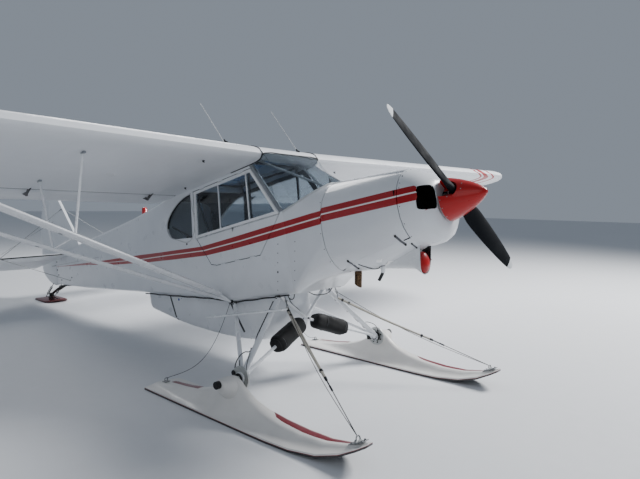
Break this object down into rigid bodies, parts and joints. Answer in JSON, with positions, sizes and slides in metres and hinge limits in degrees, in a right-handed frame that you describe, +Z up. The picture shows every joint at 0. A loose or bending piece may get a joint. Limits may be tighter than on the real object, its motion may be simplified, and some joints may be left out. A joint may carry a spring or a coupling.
{
  "type": "ski plane",
  "caption": "High-wing, strut-braced light plane on skis, with a belly pod, opening cabin and cowl doors, and moving flaps, ailerons, elevators, rudder and propeller.",
  "frame": {"origin": "centre of the bounding box in plan, on the ground under the skis", "axes": "+X towards the propeller, +Y to port, +Z up from level ground"},
  "size_m": [7.0996, 10.732, 2.3956],
  "materials": {
    "white_paint": "gloss",
    "red_paint": "gloss",
    "propeller_black": "satin",
    "clear_plastic": "clear",
    "dark_trim": "matte",
    "seat_cloth": "woven",
    "steel": "satin",
    "engine_metal": "matte",
    "exhaust_metal": "heat stained",
    "cover_black": "quilted",
    "ski_white": "satin",
    "tail_ski_red": "satin",
    "spring_steel": "satin"
  },
  "bodies": {
    "airframe": {"nose_bowl": "white_paint", "cowl_top": "white_paint", "cowl_bottom": "white_paint", "engine_block": "engine_metal", "intake_scoop": "white_paint", "exhaust_stack": "exhaust_metal", "boot_cowl": "white_paint", "firewall": "steel", "windshield": "clear_plastic", "windshield_brace": "steel", "cabin_shell": "white_paint", "side_window_left": "clear_plastic", "rear_window_left": "clear_plastic", "rear_window_right": "clear_plastic", "roof": "white_paint", "skylight": "clear_plastic", "instrument_panel": "dark_trim", "front_seat": "seat_cloth", "rear_seat": "seat_cloth", "rear_fuselage": "white_paint", "fin": "white_paint", "stabilizer_left": "white_paint", "stabilizer_right": "white_paint", "tail_stay_left": "steel", "tail_stay_right": "steel", "wing_left": "white_paint", "lift_struts_left": "white_paint", "wing_right": "white_paint", "lift_struts_right": "white_paint", "gear_leg_left": "white_paint", "gear_leg_right": "white_paint", "shock_strut_left": "cover_black", "shock_strut_right": "cover_black", "cabane": "white_paint", "step_board": "white_paint", "belly_pod": "white_paint", "tail_spring": "spring_steel", "antenna_left": "dark_trim", "antenna_right": "dark_trim"},
    "propeller": {"propeller": "propeller_black", "spinner": "red_paint"},
    "cowl_door_left": {"cowl_door_left": "white_paint"},
    "cowl_door_right": {"cowl_door_right": "white_paint"},
    "door_upper": {"door_upper": "white_paint", "door_upper_window": "clear_plastic"},
    "door_lower": {"door_lower": "white_paint"},
    "rudder": {"rudder": "white_paint"},
    "elevator_left": {"elevator_left": "white_paint"},
    "elevator_right": {"elevator_right": "white_paint"},
    "flap_left": {"flap_left": "white_paint"},
    "flap_right": {"flap_right": "white_paint"},
    "aileron_left": {"aileron_left": "white_paint"},
    "aileron_right": {"aileron_right": "white_paint"},
    "ski_left": {"ski_left": "ski_white"},
    "ski_right": {"ski_right": "ski_white"},
    "tail_ski": {"tail_ski": "tail_ski_red"}
  },
  "joints": [
    {"name": "propeller_spin", "type": "hinge", "parent": "airframe", "child": "propeller", "pos_m": [3.33751, 0, 1.59511], "axis": [0.9763, 0, 0.2164], "continuous": true},
    {"name": "cowl_door_left_hinge", "type": "hinge", "parent": "airframe", "child": "cowl_door_left", "pos_m": [2.65295, 0.125, 1.73524], "axis": [0.9917, 0, 0.1282], "range_deg": [0, 75]},
    {"name": "cowl_door_right_hinge", "type": "hinge", "parent": "airframe", "child": "cowl_door_right", "pos_m": [2.65295, -0.125, 1.73524], "axis": [-0.9917, 0, -0.1282], "range_deg": [0, 75]},
    {"name": "door_upper_hinge", "type": "hinge", "parent": "airframe", "child": "door_upper", "pos_m": [1.59372, -0.345, 1.81899], "axis": [-0.9708, 0, -0.2401], "range_deg": [0, 80]},
    {"name": "door_lower_hinge", "type": "hinge", "parent": "airframe", "child": "door_lower", "pos_m": [1.1553, -0.345, 0.95973], "axis": [0.9725, 0, 0.2328], "range_deg": [0, 105]},
    {"name": "rudder_turn", "type": "hinge", "parent": "airframe", "child": "rudder", "pos_m": [-3.10764, 0, 0.86686], "axis": [-0.2164, 0, 0.9763], "range_deg": [-25, 25]},
    {"name": "elevator_left_hinge", "type": "hinge", "parent": "airframe", "child": "elevator_left", "pos_m": [-2.95807, 0.8, 0.6542], "axis": [0, 1, 0], "range_deg": [0, 36]},
    {"name": "elevator_right_hinge", "type": "hinge", "parent": "airframe", "child": "elevator_right", "pos_m": [-2.95807, -0.8, 0.6542], "axis": [0, 1, 0], "range_deg": [0, 36]},
    {"name": "flap_left_hinge", "type": "hinge", "parent": "airframe", "child": "flap_left", "pos_m": [0.48541, 1.5, 1.56044], "axis": [0.0038, -0.9998, -0.017], "range_deg": [0, 50]},
    {"name": "flap_right_hinge", "type": "hinge", "parent": "airframe", "child": "flap_right", "pos_m": [0.48541, -1.5, 1.56044], "axis": [-0.0038, -0.9998, 0.017], "range_deg": [0, 50]},
    {"name": "aileron_left_hinge", "type": "hinge", "parent": "airframe", "child": "aileron_left", "pos_m": [0.46084, 3.856, 1.67128], "axis": [0.0038, -0.9998, -0.017], "range_deg": [-18, 18]},
    {"name": "aileron_right_hinge", "type": "hinge", "parent": "airframe", "child": "aileron_right", "pos_m": [0.46084, -3.856, 1.67128], "axis": [-0.0038, -0.9998, 0.017], "range_deg": [-18, 18]},
    {"name": "ski_left_pivot", "type": "hinge", "parent": "airframe", "child": "ski_left", "pos_m": [2.09762, 0.938, 0.25293], "axis": [0, -1, 0], "range_deg": [-8, 18]},
    {"name": "ski_right_pivot", "type": "hinge", "parent": "airframe", "child": "ski_right", "pos_m": [2.09762, -0.938, 0.25293], "axis": [0, -1, 0], "range_deg": [-8, 18]},
    {"name": "tail_ski_swivel", "type": "hinge", "parent": "airframe", "child": "tail_ski", "pos_m": [-3.2435, 0, 0.086], "axis": [0, 0, 1], "range_deg": [-30, 30]}
  ],
  "couplings": [
    {"joint": "elevator_right_hinge", "follows": "elevator_left_hinge", "ratio": 1},
    {"joint": "flap_right_hinge", "follows": "flap_left_hinge", "ratio": 1},
    {"joint": "aileron_right_hinge", "follows": "aileron_left_hinge", "ratio": -1}
  ]
}
